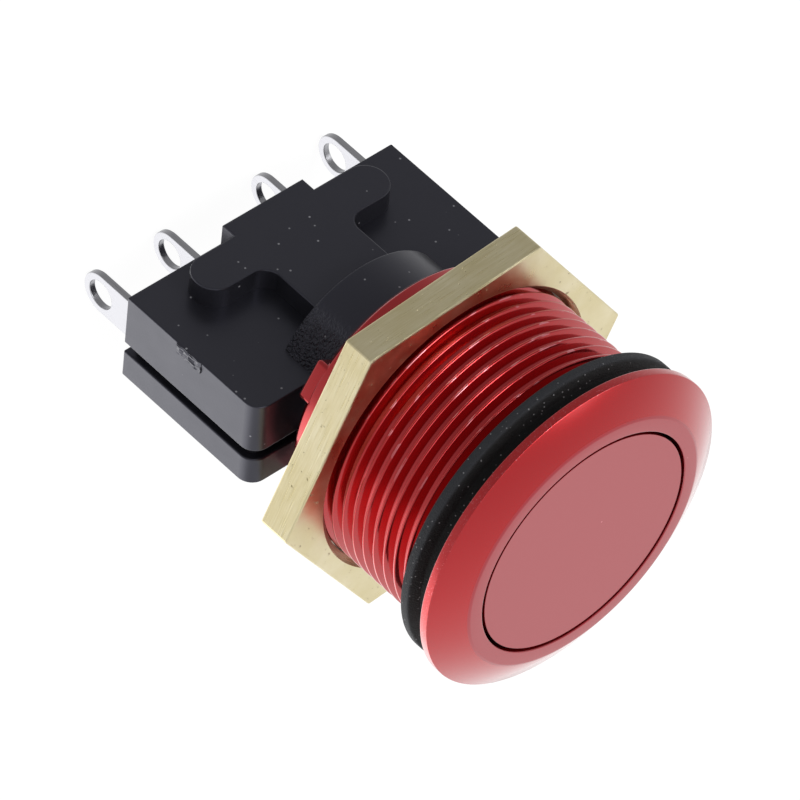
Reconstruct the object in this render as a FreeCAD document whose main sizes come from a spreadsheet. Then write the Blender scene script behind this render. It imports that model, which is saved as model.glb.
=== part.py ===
"""Vandal resistant push button for a round panel hole: turned housing, flush cap and a two-pole switch block.

Millimetres. The origin is on the button's axis in the plane of the panel's face, where the gasket bears.
+Z points out of the panel towards the finger, +X along the row of solder tags, +Y to the raised side
of the switch block.
"""
import FreeCAD
import Part
import Sketcher
import os
import re

SIZES = (
    # Turned housing
    ("thread_dia", 21.8, "crest diameter of the panel thread"),
    ("bezel_overhang", 1.6, "bezel's reach past the thread"),
    ("front_ring_width", 1.05, "flat ring between the cap's hole and the bevel"),
    ("bevel_height", 1.32, "height of the bezel's bevel"),
    ("rim_height", 0.63, "height of the bezel's cylindrical rim"),
    ("barrel_length", 11.3, "panel face to the end of the thread"),
    ("tail_dia", 18.9, "outer diameter of the plain tail"),
    ("tail_length", 13.85, "panel face to the end of the tail"),
    ("shoulder_bore_dia", 12.0, "bore between the shoulder and the web"),
    ("web_depth", 3.2, "panel face to the floor under the cap"),
    ("web_thickness", 2.0, "thickness of that floor"),
    ("lug_height", 0.6, "how far the lugs stand out of the tail's end"),
    ("lug_width", 3.0, "width of a lug"),
    ("lug_angle", 32.0, "lug's angle above and below the row of tags"),
    # Cap with its stem
    ("cap_gap", 0.12, "radial gap round the cap"),
    ("cap_setback", 0.06, "cap's face below the bezel's face"),
    ("cap_chamfer", 0.2, "chamfer on the cap's edge"),
    ("cap_crown", 1.6, "thickness of the cap over the spring pocket"),
    ("spring_pocket_dia", 13.6, "pocket for the spring in the cap"),
    ("skirt_wall", 0.79, "cap's wall between that pocket and the groove of the rubber ring"),
    ("travel", 2.0, "stroke of the button"),
    ("stop_gap", 0.1, "room left under the cap's skirt at full stroke"),
    ("stem_dia", 4.8, "stem of the cap"),
    ("stem_tail", 1.25, "length of the stem behind the clip"),
    ("stem_room", 0.5, "room between the pressed stem and the collar"),
    ("running_gap", 0.05, "radial clearance of a sliding fit"),
    ("seat_gap", 0.03, "clearance where a piece lies against its seat"),
    ("ring_section", 1.2, "section of the rubber ring on the cap"),
    ("ring_depth", 1.3, "cap's face to the groove of the rubber ring"),
    ("clip_dia", 8.0, "outer diameter of the retaining clip"),
    ("clip_thickness", 0.5, "thickness of the retaining clip"),
    ("clip_groove_dia", 3.6, "groove for the clip in the stem"),
    ("clip_mouth", 2.6, "mouth of the retaining clip"),
    ("cap_spring_dia", 10.0, "mean diameter of the cap's spring"),
    ("cap_spring_wire", 0.6, "wire of the cap's spring"),
    ("cap_spring_turns", 4.5, "turns of the cap's spring"),
    # Panel gasket and nut
    ("gasket_band", 1.25, "gasket's outer band past the thread"),
    ("gasket_height", 2.3, "height of the gasket, panel face to bezel"),
    ("gasket_lip", 0.8, "height of the gasket's outer band"),
    ("gasket_neck", 0.75, "gasket past the thread where it meets the bezel"),
    ("nut_wall", 1.75, "thread to the nut's flats"),
    ("nut_thickness", 2.47, "thickness of the nut"),
    ("nut_depth", 8.38, "panel face to the nut's front"),
    ("nut_turn", 5.3, "angle of the nut's first corner"),
    ("nut_chamfer", 0.45, "countersink at both ends of the nut's bore"),
    # Switch block
    ("block_gap", 1.25, "tail's end to the block's front"),
    ("block_depth", 12.9, "front to rear of the block"),
    ("block_corner", 1.2, "radius of the block's front corners"),
    ("base_top", 3.34, "axis to the top of the base"),
    ("parting_margin", 0.02, "tags' lower edge to the underside of the base"),
    ("groove_height", 0.8, "height of the groove between base and cover"),
    ("groove_inset", 0.6, "depth of that groove"),
    ("cover_height", 2.31, "height of the cover below the groove"),
    ("side_wall", 0.9, "side walls of the block"),
    ("end_wall", 1.2, "front and rear walls of the block"),
    ("roof", 1.0, "thickness of the base over the mechanism"),
    ("floor", 0.85, "thickness of the cover under the mechanism"),
    ("collar_dia", 14.7, "collar that fits the housing's tail"),
    ("collar_overlap", 3.1, "length of the collar that lies over the block"),
    ("boss_height", 1.75, "height of the cross-shaped boss"),
    ("boss_arm_reach", 8.25, "axis to the end of a boss arm"),
    ("boss_arm_width", 3.3, "front to rear of a boss arm"),
    ("boss_arm_setback", 1.2, "block's rear face to the boss arms"),
    ("boss_waist", 7.0, "width of the boss between arms and collar"),
    ("boss_tab", 6.8, "width of the boss's rear tab"),
    ("boss_fillet", 1.2, "radius where the arms meet the waist"),
    # Solder tags and contacts
    ("tag_pitch", 6.0, "distance between the two tags of a pair"),
    ("left_pair", 7.9, "axis to the middle of the left pair"),
    ("right_pair", 6.7, "axis to the middle of the right pair"),
    ("tag_margin", 0.675, "outer left tag to the block's side"),
    ("tag_centre", 0.75, "axis to the tags' middle line"),
    ("tag_width", 3.3, "width of a tag"),
    ("tag_thickness", 0.5, "thickness of a tag"),
    ("tag_reach", 4.7, "block's rear face to a tag's tip"),
    ("eye_dia", 2.2, "eye for the wire"),
    ("foot_length", 2.1, "contact foot, from the tag towards the pair's middle"),
    ("foot_room", 0.39, "roof to a contact foot"),
    ("rear_room", 0.25, "pressed carrier to the rear wall"),
    ("open_foot_room", 0.8, "rear wall to the feet of the normally open pair"),
    ("contact_dia", 1.6, "contact button"),
    ("contact_height", 0.5, "fixed contact button's height"),
    ("shank_dia", 1.0, "shank of a fixed contact"),
    ("contact_offset", 1.3, "tag to its contact's middle"),
    ("tip_height", 0.4, "moving contact's height"),
    ("contact_gap", 0.05, "clearance left between closed contacts"),
    ("bridge_gap", 0.2, "end of a contact bridge to the tag beside it"),
    ("bridge_room", 0.49, "roof to a contact bridge"),
    ("bridge_thickness", 0.4, "thickness of a contact bridge"),
    # Contact carrier and its springs
    ("guide_room", 0.14, "roof to the carrier's round front"),
    ("spine_width", 5.2, "middle of the carrier"),
    ("spine_room", 0.4, "room over and under the carrier"),
    ("spine_length", 6.1, "inside front wall to the rear of the carrier"),
    ("arm_top", 1.3, "axis to the top of the carrier's arms, below it"),
    ("post_width", 1.4, "width of a post on the carrier's arms"),
    ("post_depth", 0.85, "front to rear of a post"),
    ("post_top", 1.6, "axis to the top of the posts"),
    ("contact_spring_length", 1.85, "contact spring between bridge and post"),
    ("contact_spring_dia", 1.6, "mean diameter of a contact spring"),
    ("contact_spring_wire", 0.25, "wire of a contact spring"),
    ("contact_spring_turns", 3.5, "turns of a contact spring"),
    ("return_spring_dia", 3.6, "mean diameter of the carrier's return spring"),
    ("return_spring_wire", 0.4, "wire of the return spring"),
    ("return_spring_turns", 4.5, "turns of the return spring"),
)

doc = FreeCAD.newDocument("push_button")
sheet = doc.addObject("Spreadsheet::Sheet", "Sizes")
for row, (alias, number, meaning) in enumerate(SIZES, start=1):
    sheet.set(f"A{row}", str(number))
    sheet.setAlias(f"A{row}", alias)
    sheet.set(f"B{row}", meaning)
doc.recompute()

ALIASES = {alias for alias, number, meaning in SIZES}
WORD = re.compile(r"[a-z]\w*")
pieces = {}


def bound(formula):
    """Turn a formula of size names into an expression on the sheet."""
    return WORD.sub(lambda word: f"Sizes.{word[0]}" if word[0] in ALIASES else word[0], formula)


def value(formula):
    """Give the present value of a formula of size names."""
    return float(sheet.evalExpression(bound(formula)))


def bind(thing, **formulas):
    """Bind properties to formulas; a double underscore stands for a dot."""
    for name, formula in formulas.items():
        thing.setExpression(name.replace("__", "."), bound(formula))


def plane_of(body, role):
    return next(f for f in body.Origin.OriginFeatures if f.Role == role)


def new_sketch(body, name, role, shift=("0", "0", "0")):
    """Add a sketch on one of the body's own planes, moved by formulas in the plane's own axes."""
    sketch = body.newObject("Sketcher::SketchObject", name)
    sketch.AttachmentSupport = [(plane_of(body, role), "")]
    sketch.MapMode = "FlatFace"
    for axis, formula in zip("xyz", shift):
        sketch.setExpression(f"AttachmentOffset.Base.{axis}", bound(formula))
    return sketch


def draw(sketch, points):
    """Draw a closed outline whose corners are formulas."""
    corners = [FreeCAD.Vector(value(u), value(v), 0) for u, v in points]
    count = len(points)
    for i in range(count):
        sketch.addGeometry(Part.LineSegment(corners[i], corners[(i + 1) % count]), False)
    for i in range(count):
        sketch.addConstraint(Sketcher.Constraint("Coincident", i, 2, (i + 1) % count, 1))
    for i, (u, v) in enumerate(points):
        for kind, start, formula in (("DistanceX", corners[i].x, u), ("DistanceY", corners[i].y, v)):
            index = sketch.addConstraint(Sketcher.Constraint(kind, -1, 1, i, 1, start))
            sketch.setExpression(f"Constraints[{index}]", bound(formula))


def draw_circle(sketch, u, v, radius):
    """Draw a circle whose centre and radius are formulas."""
    centre = FreeCAD.Vector(value(u), value(v), 0)
    circle = sketch.addGeometry(Part.Circle(centre, FreeCAD.Vector(0, 0, 1), value(radius)), False)
    for kind, start, formula in (("DistanceX", centre.x, u), ("DistanceY", centre.y, v)):
        index = sketch.addConstraint(Sketcher.Constraint(kind, -1, 1, circle, 3, start))
        sketch.setExpression(f"Constraints[{index}]", bound(formula))
    index = sketch.addConstraint(Sketcher.Constraint("Radius", circle, value(radius)))
    sketch.setExpression(f"Constraints[{index}]", bound(radius))


def turned(name, points):
    """Turn a half section of (radius, z) corners about the button's axis."""
    body = doc.addObject("PartDesign::Body", name)
    sketch = new_sketch(body, name + "_section", "XZ_Plane")
    draw(sketch, points)
    turn = body.newObject("PartDesign::Revolution", name + "_turning")
    turn.Profile = sketch
    turn.ReferenceAxis = (sketch, ["V_Axis"])
    turn.Angle = 360
    return body


def add_slab(body, name, points, low, high):
    """Raise an outline of (x, z) corners from one height along Y to another."""
    sketch = new_sketch(body, name + "_outline", "XZ_Plane", ("0", "0", f"-({low})"))
    draw(sketch, points)
    pad = body.newObject("PartDesign::Pad", name + "_pad")
    pad.Profile = sketch
    pad.Reversed = True
    bind(pad, Length=f"({high}) - ({low})")
    return pad


def round_edges(body, name, base, wanted, radius):
    """Round the edges along Y of a pad that pass the test on their (x, z) place."""
    doc.recompute()
    edges = []
    for number, edge in enumerate(base.Shape.Edges, start=1):
        first, last = edge.firstVertex().Point, edge.lastVertex().Point
        along_y = abs(first.x - last.x) < 1e-6 and abs(first.z - last.z) < 1e-6
        if along_y and wanted(first.x, first.z):
            edges.append(f"Edge{number}")
    fillet = body.newObject("PartDesign::Fillet", name)
    fillet.Base = (base, edges)
    bind(fillet, Radius=radius)
    body.Tip = fillet
    return fillet


def rectangle(u0, u1, v0, v1):
    return [(u0, v0), (u1, v0), (u1, v1), (u0, v1)]


def block(name, x, y, z):
    """A box between pairs of formulas."""
    box = doc.addObject("Part::Box", name)
    sides = zip(("Length", "Width", "Height"), "xyz", (x, y, z))
    for side, axis, (low, high) in sides:
        box.setExpression(side, bound(f"({high}) - ({low})"))
        box.setExpression(f"Placement.Base.{axis}", bound(low))
    return box


def rod(name, radius, low, high, x="0", y="0"):
    """A cylinder along Z between two heights."""
    cylinder = doc.addObject("Part::Cylinder", name)
    bind(cylinder, Radius=radius, Height=f"({high}) - ({low})",
         Placement__Base__x=x, Placement__Base__y=y, Placement__Base__z=low)
    return cylinder


def fused(name, *shapes):
    union = doc.addObject("Part::MultiFuse", name)
    union.Shapes = list(shapes)
    return union


def without(name, base, *tools):
    cut = doc.addObject("Part::Cut", name)
    cut.Base = base
    cut.Tool = tools[0] if len(tools) == 1 else fused(name + "_tools", *tools)
    return cut


def coil(name, mean_dia, wire, low, high, turns, x="0", y="0"):
    """A round wire wound about Z between two seats."""
    body = doc.addObject("PartDesign::Body", name)
    sketch = new_sketch(body, name + "_wire", "XZ_Plane", (x, "0", f"-({y})"))
    draw_circle(sketch, f"{mean_dia} / 2", f"({low}) + {wire} / 2 + seat_gap", f"{wire} / 2")
    helix = body.newObject("PartDesign::AdditiveHelix", name + "_winding")
    helix.Profile = sketch
    helix.ReferenceAxis = (sketch, ["V_Axis"])
    helix.Mode = 0
    rise = f"(({high}) - ({low}) - {wire} - 2 * seat_gap)"
    bind(helix, Height=rise, Pitch=f"{rise} / {turns}")
    return body


def keep(node, piece):
    piece.Label = node
    pieces[node] = piece


# Heights along the axis, from the panel's face
FRONT = "(gasket_height + rim_height + bevel_height)"
RIM_EDGE = "(gasket_height + rim_height)"
WEB_FRONT = "(-web_depth)"
WEB_REAR = "(-web_depth - web_thickness)"
TAIL_END = "(-tail_length)"
CAP_TOP = f"({FRONT} - cap_setback)"
POCKET_TOP = f"({CAP_TOP} - cap_crown)"
SKIRT_END = f"({WEB_FRONT} + travel + stop_gap)"
CLIP_TOP = f"({WEB_REAR} - running_gap)"
CLIP_LOW = f"({CLIP_TOP} - clip_thickness)"
STEM_END = f"({CLIP_LOW} - stem_tail)"
SHOULDER = f"({STEM_END} - travel - stem_room)"
BLOCK_FRONT = f"({TAIL_END} - block_gap)"
BLOCK_REAR = f"({BLOCK_FRONT} - block_depth)"
INNER_FRONT = f"({BLOCK_FRONT} - end_wall)"
INNER_REAR = f"({BLOCK_REAR} + end_wall)"

# Heights and widths across the block, from the axis
BASE_LOW = "(tag_centre - tag_width / 2 - parting_margin)"
COVER_TOP = f"({BASE_LOW} - groove_height)"
COVER_LOW = f"({COVER_TOP} - cover_height)"
INNER_TOP = "(base_top - roof)"
INNER_LOW = f"({COVER_LOW} + floor)"
HALF_WIDTH = "(left_pair + tag_pitch / 2 + tag_margin)"
INNER_SIDES = (f"-{HALF_WIDTH} + side_wall", f"{HALF_WIDTH} - side_wall")

# Housing: bezel, threaded barrel and tail are turned from one bar; the lugs stand on the tail's end.
GROOVE_RADIUS = "(spring_pocket_dia / 2 + skirt_wall)"
CAP_HOLE = f"({GROOVE_RADIUS} + ring_section + 2 * seat_gap)"
BEZEL_RADIUS = "(thread_dia / 2 + bezel_overhang)"
TAIL_BORE = "(collar_dia / 2 + running_gap)"
housing_turning = turned("housing_turning", [
    (CAP_HOLE, FRONT),
    (f"{CAP_HOLE} + front_ring_width", FRONT),
    (BEZEL_RADIUS, RIM_EDGE),
    (BEZEL_RADIUS, "gasket_height"),
    ("thread_dia / 2", "gasket_height"),
    ("thread_dia / 2", "-barrel_length"),
    ("tail_dia / 2", "-barrel_length"),
    ("tail_dia / 2", TAIL_END),
    (TAIL_BORE, TAIL_END),
    (TAIL_BORE, SHOULDER),
    ("shoulder_bore_dia / 2", SHOULDER),
    ("shoulder_bore_dia / 2", WEB_REAR),
    ("stem_dia / 2 + running_gap", WEB_REAR),
    ("stem_dia / 2 + running_gap", WEB_FRONT),
    (CAP_HOLE, WEB_FRONT),
])
LUG_END = f"({TAIL_END} - lug_height)"
lug_ring = without(
    "lug_ring",
    rod("lug_ring_outside", "tail_dia / 2", LUG_END, TAIL_END),
    rod("lug_ring_bore", TAIL_BORE, f"{LUG_END} - lug_height", f"{TAIL_END} + lug_height"),
)
lug_bars = []
for number, angle in enumerate(("lug_angle", "(180 - lug_angle)"), start=1):
    bar = doc.addObject("Part::Box", f"lug_bar_{number}")
    turn = f"({angle} * 1 deg)"
    bind(bar, Length="tail_dia", Width="lug_width", Height="lug_height",
         Placement__Base__x=f"lug_width / 2 * sin{turn} - tail_dia / 2 * cos{turn}",
         Placement__Base__y=f"-lug_width / 2 * cos{turn} - tail_dia / 2 * sin{turn}",
         Placement__Base__z=LUG_END, Placement__Rotation__Angle=turn)
    lug_bars.append(bar)
lugs = doc.addObject("Part::Common", "lugs")
lugs.Base = lug_ring
lugs.Tool = fused("lug_cross", *lug_bars)
keep("housing", fused("housing", housing_turning, lugs))

# Cap: a flush face on a hollow skirt, with the stem that works the switch.
CAP_RADIUS = f"({CAP_HOLE} - cap_gap)"
RING_TOP = f"({CAP_TOP} - ring_depth)"
RING_LOW = f"({RING_TOP} - ring_section - 2 * seat_gap)"
keep("cap", turned("cap", [
    ("0", CAP_TOP),
    (f"{CAP_RADIUS} - cap_chamfer", CAP_TOP),
    (CAP_RADIUS, f"{CAP_TOP} - cap_chamfer"),
    (CAP_RADIUS, RING_TOP),
    (GROOVE_RADIUS, RING_TOP),
    (GROOVE_RADIUS, RING_LOW),
    (CAP_RADIUS, RING_LOW),
    (CAP_RADIUS, SKIRT_END),
    ("spring_pocket_dia / 2", SKIRT_END),
    ("spring_pocket_dia / 2", POCKET_TOP),
    ("stem_dia / 2", POCKET_TOP),
    ("stem_dia / 2", f"{CLIP_TOP} + seat_gap"),
    ("clip_groove_dia / 2", f"{CLIP_TOP} + seat_gap"),
    ("clip_groove_dia / 2", f"{CLIP_LOW} - seat_gap"),
    ("stem_dia / 2", f"{CLIP_LOW} - seat_gap"),
    ("stem_dia / 2", STEM_END),
    ("0", STEM_END),
]))

# Rubber ring in the cap's groove, which keeps water out.
cap_seal = doc.addObject("Part::Torus", "cap_seal")
bind(cap_seal, Radius1=f"{GROOVE_RADIUS} + seat_gap + ring_section / 2", Radius2="ring_section / 2",
     Placement__Base__z=f"{RING_TOP} - seat_gap - ring_section / 2")
keep("cap_seal", cap_seal)

# Retaining clip: a flat spring washer with a mouth, pushed on to the stem behind the web.
PAST_CLIP = (f"{CLIP_LOW} - clip_thickness", f"{CLIP_TOP} + clip_thickness")
keep("retaining_clip", without(
    "retaining_clip",
    rod("clip_blank", "clip_dia / 2", CLIP_LOW, CLIP_TOP),
    rod("clip_hole", "clip_groove_dia / 2 + seat_gap", *PAST_CLIP),
    block("clip_mouth_cut", ("0", "clip_dia"), ("-clip_mouth / 2", "clip_mouth / 2"), PAST_CLIP),
))

# Spring under the cap.
keep("cap_spring", coil("cap_spring", "cap_spring_dia", "cap_spring_wire", WEB_FRONT, POCKET_TOP,
                        "cap_spring_turns"))

# Panel gasket: a moulded rubber ring with a tapered neck and an outer band.
keep("panel_gasket", turned("panel_gasket", [
    ("thread_dia / 2 + running_gap", "0"),
    ("thread_dia / 2 + gasket_band", "0"),
    ("thread_dia / 2 + gasket_band", "gasket_lip"),
    ("thread_dia / 2 + gasket_neck", "gasket_height"),
    ("thread_dia / 2 + running_gap", "gasket_height"),
]))

# Flat hexagon nut, sawn from bar and countersunk at both ends of its bore.
NUT_FRONT = "(-nut_depth)"
NUT_REAR = "(-nut_depth - nut_thickness)"
NUT_BORE = "(thread_dia / 2 + running_gap)"
nut_blank = doc.addObject("Part::Prism", "nut_blank")
nut_blank.Polygon = 6
bind(nut_blank, Circumradius="(thread_dia + 2 * nut_wall) / sqrt(3)", Height="nut_thickness",
     Placement__Base__z=NUT_REAR, Placement__Rotation__Angle="nut_turn * 1 deg")
nut_bore = turned("nut_bore", [
    ("0", f"{NUT_FRONT} + nut_chamfer"),
    (f"{NUT_BORE} + 2 * nut_chamfer", f"{NUT_FRONT} + nut_chamfer"),
    (NUT_BORE, f"{NUT_FRONT} - nut_chamfer"),
    (NUT_BORE, f"{NUT_REAR} + nut_chamfer"),
    (f"{NUT_BORE} + 2 * nut_chamfer", f"{NUT_REAR} - nut_chamfer"),
    ("0", f"{NUT_REAR} - nut_chamfer"),
])
keep("hex_nut", without("hex_nut", nut_blank, nut_bore))

# Base of the switch block: a moulding with a cross-shaped boss on top and a round collar in front.
outline = rectangle(f"-{HALF_WIDTH}", HALF_WIDTH, BLOCK_REAR, BLOCK_FRONT)
front_z = value(BLOCK_FRONT)
base_body = doc.addObject("PartDesign::Body", "base_block")
base_pad = add_slab(base_body, "base_block", outline, BASE_LOW, "base_top")
round_edges(base_body, "base_corners", base_pad, lambda x, z: abs(z - front_z) < 1e-6, "block_corner")

ARM_REAR = f"({BLOCK_REAR} + boss_arm_setback)"
ARM_FRONT = f"({ARM_REAR} + boss_arm_width)"
COLLAR_REAR = f"({BLOCK_FRONT} - collar_overlap)"
half_boss = [
    ("boss_tab / 2", BLOCK_REAR),
    ("boss_tab / 2", ARM_REAR),
    ("boss_arm_reach", ARM_REAR),
    ("boss_arm_reach", ARM_FRONT),
    ("boss_waist / 2", ARM_FRONT),
    ("boss_waist / 2", COLLAR_REAR),
]
boss_body = doc.addObject("PartDesign::Body", "boss")
boss_pad = add_slab(boss_body, "boss", half_boss + [(f"-({u})", v) for u, v in reversed(half_boss)],
                    "base_top", "base_top + boss_height")
arm_reach = value("boss_arm_reach")
arm_front = value(ARM_FRONT)
boss_ends = round_edges(boss_body, "boss_arm_ends", boss_pad, lambda x, z: abs(abs(x) - arm_reach) < 1e-6,
                        "boss_arm_width * 0.49")
round_edges(boss_body, "boss_roots", boss_ends,
            lambda x, z: abs(z - arm_front) < 1e-6 and abs(x) < arm_reach / 2, "boss_fillet")

collar = without(
    "collar",
    rod("collar_round", "collar_dia / 2", COLLAR_REAR, SHOULDER),
    block("collar_underside", ("-collar_dia", "collar_dia"), ("-collar_dia", BASE_LOW),
          (f"{COLLAR_REAR} - collar_overlap", BLOCK_FRONT)),
)
GUIDE_RADIUS = f"({INNER_TOP} - guide_room)"
guide_bore = rod("guide_bore", f"{GUIDE_RADIUS} + running_gap", INNER_FRONT, f"{SHOULDER} + end_wall")
base_room = block("base_room", INNER_SIDES, (COVER_TOP, INNER_TOP), (INNER_REAR, INNER_FRONT))

# Places of the four tags, and how far each runs into the block. From the rear wall forward, the closed
# pair leaves room for the pressed carrier's post, the contact spring, the bridge and the contacts.
CLOSED_BRIDGE = (f"({INNER_REAR} + travel + rear_room + post_depth + contact_spring_length"
                 " + bridge_thickness)")
CLOSED_TIP = f"({CLOSED_BRIDGE} + tip_height)"
CLOSED_FACE = f"({CLOSED_TIP} + contact_gap)"
CLOSED_FOOT = f"({CLOSED_FACE} + contact_height + tag_thickness)"
OPEN_FOOT = f"({INNER_REAR} + open_foot_room + tag_thickness)"
TAGS = (
    ("1", "(-left_pair - tag_pitch / 2)", 1, CLOSED_FOOT),
    ("2", "(-left_pair + tag_pitch / 2)", -1, CLOSED_FOOT),
    ("3", "(right_pair - tag_pitch / 2)", 1, OPEN_FOOT),
    ("4", "(right_pair + tag_pitch / 2)", -1, OPEN_FOOT),
)
tag_slots = []
for number, x, inward, foot_front in TAGS:
    tag_slots.append(block(
        f"tag_slot_{number}",
        (f"{x} - tag_thickness / 2 - seat_gap", f"{x} + tag_thickness / 2 + seat_gap"),
        (COVER_TOP, "tag_centre + tag_width / 2 + seat_gap"),
        (f"{BLOCK_REAR} - end_wall", f"{foot_front} + seat_gap"),
    ))
keep("switch_base", without("switch_base", fused("base_moulding", base_body, boss_body, collar),
                            guide_bore, base_room, *tag_slots))

# Cover of the switch block: a tray whose lip closes the base and leaves the groove round the block.
cover_body = doc.addObject("PartDesign::Body", "cover_block")
cover_pad = add_slab(cover_body, "cover_block", outline, COVER_LOW, COVER_TOP)
round_edges(cover_body, "cover_corners", cover_pad, lambda x, z: abs(z - front_z) < 1e-6, "block_corner")
lip_body = doc.addObject("PartDesign::Body", "cover_lip")
lip_pad = add_slab(lip_body, "cover_lip",
                   rectangle(f"-{HALF_WIDTH} + groove_inset", f"{HALF_WIDTH} - groove_inset",
                             f"{BLOCK_REAR} + groove_inset", f"{BLOCK_FRONT} - groove_inset"),
                   COVER_TOP, BASE_LOW)
lip_front = value(f"{BLOCK_FRONT} - groove_inset")
round_edges(lip_body, "lip_corners", lip_pad, lambda x, z: abs(z - lip_front) < 1e-6,
            "block_corner - groove_inset")
cover_room = block("cover_room", INNER_SIDES, (INNER_LOW, INNER_TOP), (INNER_REAR, INNER_FRONT))
cover_bore = rod("cover_bore", f"{GUIDE_RADIUS} + running_gap", INNER_FRONT, f"{BLOCK_FRONT} + end_wall")
keep("switch_cover", without("switch_cover", fused("cover_moulding", cover_body, lip_body),
                             cover_room, cover_bore))

# Solder tags: stamped strip with a rounded, pierced end outside and a bent contact foot inside.
TAG_TIP = f"({BLOCK_REAR} - tag_reach)"
TAG_EYE = f"({TAG_TIP} + tag_width / 2)"
FOOT = (f"2 * tag_centre - {INNER_TOP} + foot_room", f"{INNER_TOP} - foot_room")
for number, x, inward, foot_front in TAGS:
    strip = doc.addObject("PartDesign::Body", f"tag_strip_{number}")
    sketch = new_sketch(strip, f"tag_outline_{number}", "YZ_Plane", ("0", "0", f"{x} - tag_thickness / 2"))
    draw(sketch, rectangle("tag_centre - tag_width / 2", "tag_centre + tag_width / 2", TAG_EYE, foot_front))
    pad = strip.newObject("PartDesign::Pad", f"tag_pad_{number}")
    pad.Profile = sketch
    bind(pad, Length="tag_thickness")
    across = {"Placement__Base__x": f"{x} - tag_thickness / 2", "Placement__Base__y": "tag_centre",
              "Placement__Base__z": TAG_EYE}
    end = doc.addObject("Part::Cylinder", f"tag_end_{number}")
    end.Placement.Rotation = FreeCAD.Rotation(FreeCAD.Vector(0, 1, 0), 90)
    bind(end, Radius="tag_width / 2", Height="tag_thickness", **across)
    eye = doc.addObject("Part::Cylinder", f"tag_eye_{number}")
    eye.Placement.Rotation = FreeCAD.Rotation(FreeCAD.Vector(0, 1, 0), 90)
    bind(eye, Radius="eye_dia / 2", Height="tag_thickness", **across)
    reach = (x, f"{x} + foot_length") if inward > 0 else (f"{x} - foot_length", x)
    foot = block(f"tag_foot_{number}", reach, FOOT, (f"{foot_front} - tag_thickness", foot_front))
    contact_x = f"({x} + {inward} * contact_offset)"
    hole = rod(f"tag_hole_{number}", "shank_dia / 2 + seat_gap", f"{foot_front} - 2 * tag_thickness",
               f"{foot_front} + tag_thickness", contact_x, "tag_centre")
    keep(f"terminal_{number}", without(f"terminal_{number}", fused(f"tag_blank_{number}", strip, end, foot),
                                       eye, hole))

# Fixed contacts: silver rivets in the feet. Those of the closed pair face the rear, the others the front.
OPEN_FACE = f"({OPEN_FOOT} + contact_height)"
for number, x, inward, foot_front in TAGS:
    contact_x = f"({x} + {inward} * contact_offset)"
    if foot_front == CLOSED_FOOT:
        head_span = (CLOSED_FACE, f"{CLOSED_FOOT} - tag_thickness")
    else:
        head_span = (OPEN_FOOT, OPEN_FACE)
    head = rod(f"contact_head_{number}", "contact_dia / 2", *head_span, contact_x, "tag_centre")
    shank = rod(f"contact_shank_{number}", "shank_dia / 2", f"{foot_front} - tag_thickness", foot_front,
                contact_x, "tag_centre")
    keep(f"fixed_contact_{number}", fused(f"fixed_contact_{number}", head, shank))

# Contact bridges with their silver tips. The closed bridge lies behind its contacts, the open one in front.
OPEN_TIP = f"({OPEN_FACE} + contact_gap + travel)"
OPEN_BRIDGE = f"({OPEN_TIP} + tip_height)"
BRIDGE_REACH = "(tag_pitch / 2 - tag_thickness / 2 - bridge_gap)"
BRIDGE = (f"2 * tag_centre - {INNER_TOP} + bridge_room", f"{INNER_TOP} - bridge_room")
SIDES = (
    ("closed", "(-left_pair)", (f"{CLOSED_BRIDGE} - bridge_thickness", CLOSED_BRIDGE)),
    ("open", "right_pair", (OPEN_BRIDGE, f"{OPEN_BRIDGE} + bridge_thickness")),
)
for side, x, span in SIDES:
    keep(f"{side}_bridge", block(f"{side}_bridge", (f"{x} - {BRIDGE_REACH}", f"{x} + {BRIDGE_REACH}"),
                                 BRIDGE, span))
for number, x, inward, foot_front in TAGS:
    tip_span = (CLOSED_BRIDGE, CLOSED_TIP) if foot_front == CLOSED_FOOT else (OPEN_TIP, OPEN_BRIDGE)
    keep(f"moving_contact_{number}", rod(f"moving_contact_{number}", "contact_dia / 2", *tip_span,
                                         f"({x} + {inward} * contact_offset)", "tag_centre"))

# Contact carrier: a moulded slider. Its round front is guided in the collar, its arms carry the bridges
# between posts, each with a small spring that presses the bridge towards its contacts.
CARRIER_FRONT = f"({STEM_END} - seat_gap)"
SPINE_REAR = f"({INNER_FRONT} - spine_length)"
SPINE_FRONT = f"({INNER_FRONT} - spine_room)"
CARRIER_LOW = f"({INNER_LOW} + spine_room)"
CLOSED_REAR_POST = f"({CLOSED_BRIDGE} - bridge_thickness - contact_spring_length)"
OPEN_FRONT_POST = f"({OPEN_BRIDGE} + bridge_thickness + contact_spring_length)"
POSTS = {
    "closed": ((f"{CLOSED_REAR_POST} - post_depth", CLOSED_REAR_POST),
               (f"{CLOSED_BRIDGE} + seat_gap", f"{CLOSED_BRIDGE} + seat_gap + post_depth")),
    "open": ((f"{OPEN_BRIDGE} - seat_gap - post_depth", f"{OPEN_BRIDGE} - seat_gap"),
             (OPEN_FRONT_POST, f"{OPEN_FRONT_POST} + post_depth")),
}
carrier_pieces = [
    rod("carrier_guide", GUIDE_RADIUS, SPINE_FRONT, CARRIER_FRONT),
    block("carrier_spine", ("-spine_width / 2", "spine_width / 2"),
          (CARRIER_LOW, f"{INNER_TOP} - spine_room"), (SPINE_REAR, SPINE_FRONT)),
]
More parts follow.
